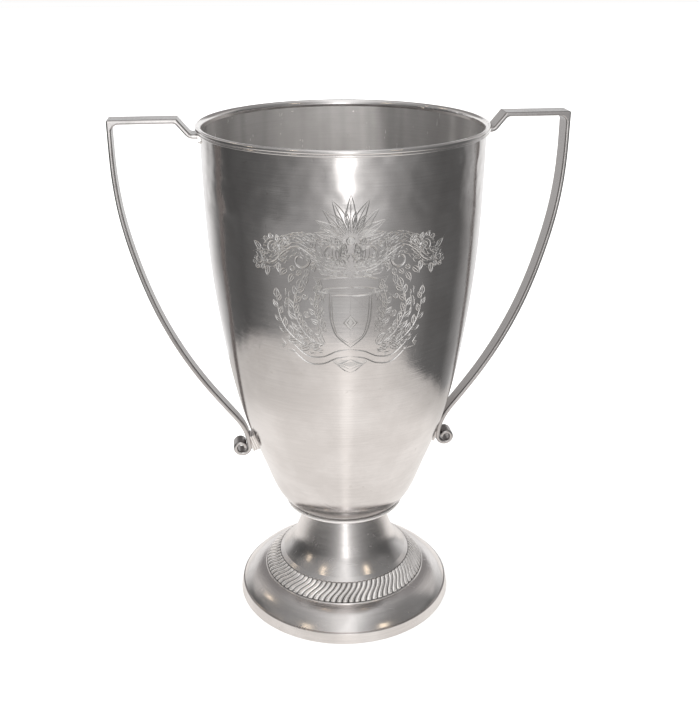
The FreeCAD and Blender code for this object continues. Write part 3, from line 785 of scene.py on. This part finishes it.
def engraved_patch(columns, rows):
    """Flat triangulation of the patch with every groove edge in it; gives points and triangles."""
    strokes = [(wobble(points, 0.10), width * random.uniform(1.0, 1.35))
               for points, width in draw_ornament()]
    depth = DepthMap()
    points, edges = [], []

    def chain(items, closed=False):
        first = len(points)
        points.extend(items)
        edges.extend((first + i, first + i + 1) for i in range(len(items) - 1))
        if closed:
            edges.append((first + len(items) - 1, first))
    ring = ([(x, rows[0]) for x in columns] + [(columns[-1], y) for y in rows[1:]]
            + [(x, rows[-1]) for x in reversed(columns[:-1])]
            + [(columns[0], y) for y in reversed(rows[1:-1])])
    chain(ring, True)
    border = len(points)
    for outline in strokes:
        left, middle, right, halves = groove_outline(*outline)
        chain(left + right[::-1], True)
        chain(middle)
        depth.add(middle, halves, LINE_DEPTH)
    for i, x in enumerate(spread(columns[0], columns[-1], PATCH_GRID)[1:-1]):
        for y in spread(rows[0], rows[-1], PATCH_GRID)[1:-1]:
            spot = (x, y + (0.5 * PATCH_GRID if i % 2 else 0) - 0.25 * PATCH_GRID)
            if depth.at(*spot) == 0:
                points.append(spot)
    flat = [Vector(p) for p in points]
    verts, _, faces, origin, _, _ = delaunay_2d_cdt(flat, edges, [], 0, 1e-5)
    return verts, faces, origin, border, depth


def path_normals(path):
    """Outward (radial, upward) normal at every point of a profile path."""
    out = []
    for k in range(len(path)):
        (r0, z0), (r1, z1) = path[max(k - 1, 0)], path[min(k + 1, len(path) - 1)]
        n = math.hypot(r1 - r0, z1 - z0)
        out.append(((z1 - z0) / n, -(r1 - r0) / n))
    return out


class Shell:
    """Vertices, faces, slots and corner normals of a piece turned about the cup's axis."""

    def __init__(self):
        self.verts, self.faces, self.slots, self.normals, self.index = [], [], [], [], {}

    def vertex(self, x, r, z, tag=""):
        key = (tag, round(x, 3) if r > 1e-6 else 0.0, round(r, 6), round(z, 6))
        if key not in self.index:
            a = ORNAMENT_ANGLE + x / ORNAMENT_RADIUS
            self.index[key] = len(self.verts)
            self.verts.append(Vector((r * math.sin(a), -r * math.cos(a), z)))
        return self.index[key]

    def face(self, corners, slot, normals):
        kept = [k for k in range(len(corners)) if corners[k] != corners[k - 1]]
        if len(kept) > 2:
            self.faces.append([corners[k] for k in kept])
            self.slots.append(slot)
            self.normals.extend(normals[k] for k in kept)

    @staticmethod
    def bend(x, normal):
        a = ORNAMENT_ANGLE + x / ORNAMENT_RADIUS
        return Vector((normal[0] * math.sin(a), -normal[0] * math.cos(a), normal[1]))

    def turn(self, path, around, slot, skip=None):
        normals = path_normals(path)
        for j in range(len(path) - 1):
            for i in range(len(around)):
                if skip and skip(i, j):
                    continue
                corners, bends = [], []
                for di, dj in ((0, 0), (1, 0), (1, 1), (0, 1)):
                    x = around[(i + di) % len(around)]
                    corners.append(self.vertex(x, *path[j + dj]))
                    bends.append(self.bend(x, normals[j + dj]))
                self.face(corners, slot, bends)


def engraved_bowl(materials):
    """The bowl again, with its front panel cut by the ornament's grooves."""
    cad = nodes["bowl"].data
    outer, inner = Profile(cad, True), Profile(cad, False)
    mm = 0.001
    step = 2 * math.pi * ORNAMENT_RADIUS / COLUMNS
    columns = spread(PATCH_ACROSS[0], PATCH_ACROSS[1], step)
    around = columns[:-1] + spread(columns[-1], columns[0] + 2 * math.pi * ORNAMENT_RADIUS, step)[:-1]
    rows = spread(PATCH_UP[0], PATCH_UP[1], 3.0)
    low, high = outer.z[0], outer.z[-1]
    levels = (spread(low / mm, rows[0], 2.2)[:-1] + rows + spread(rows[-1], high / mm, 2.2)[1:])
    wall = [(outer.radius(y * mm), y * mm) for y in levels]
    first_row, last_row = levels.index(rows[0]), levels.index(rows[-1])
    corner = {(round(math.hypot(v.co.x, v.co.y), 5), round(v.co.z, 5)) for v in cad.vertices
              if v.normal.z > 0.8 and v.co.z < 0.5 * high}
    lining = [(inner.radius(z), z) for z in reversed(spread(inner.z[0], inner.z[-1], 0.0016))]
    lining += sorted(corner, reverse=True) + [(0.0, min(z for _, z in corner))]
    shell = Shell()
    shell.turn([(0.0, low), wall[0]], around, 1)
    shell.turn(wall, around, 0,
               lambda i, j: i < len(columns) - 1 and first_row <= j < last_row)
    shell.turn([wall[-1], lining[0]], around, 1)
    shell.turn(lining, around, 1)

    flat, triangles, origin, border, depth = engraved_patch(columns, rows)
    ids, cut, bent = [], [], []
    for number, p in enumerate(flat):
        z = p.y * mm
        on_border = any(o < border for o in origin[number])
        d = 0.0 if on_border else depth.at(p.x, p.y)
        tag = "" if on_border else "panel%d" % number
        ids.append(shell.vertex(p.x, outer.radius(z) - d * mm, z, tag))
        cut.append(d > 0.004)
        slope = outer.slope(z)
        size = math.hypot(1, slope)
        bent.append(shell.bend(p.x, (1 / size, -slope / size)))
    for tri in triangles:
        corners = [ids[i] for i in tri]
        if any(cut[i] for i in tri):
            a, b, c = (shell.verts[i] for i in corners)
            facet = (b - a).cross(c - a).normalized()
            shell.face(corners, 2, [facet] * 3)
        else:
            shell.face(corners, 0, [bent[i] for i in tri])

    mesh = bpy.data.meshes.new("bowl_engraved")
    mesh.from_pydata(shell.verts, [], shell.faces)
    for material in materials:
        mesh.materials.append(material)
    mesh.polygons.foreach_set("material_index", shell.slots)
    mesh.polygons.foreach_set("use_smooth", [True] * len(shell.faces))
    mesh.normals_split_custom_set(shell.normals)
    mesh.update()
    piece = bpy.data.objects.new("bowl_engraved", mesh)
    bpy.context.scene.collection.objects.link(piece)
    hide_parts("bowl")
    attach(piece, "root")
    print("engraved bowl:", len(shell.verts), "vertices,", len(shell.faces), "faces")
    return piece


bpy.context.scene.view_settings.view_transform = "Standard"
bpy.context.scene.view_settings.look = "None"
make_world()
make_stage()
make_camera()
engraved_bowl(bowl_materials())
dress_cad_pieces()
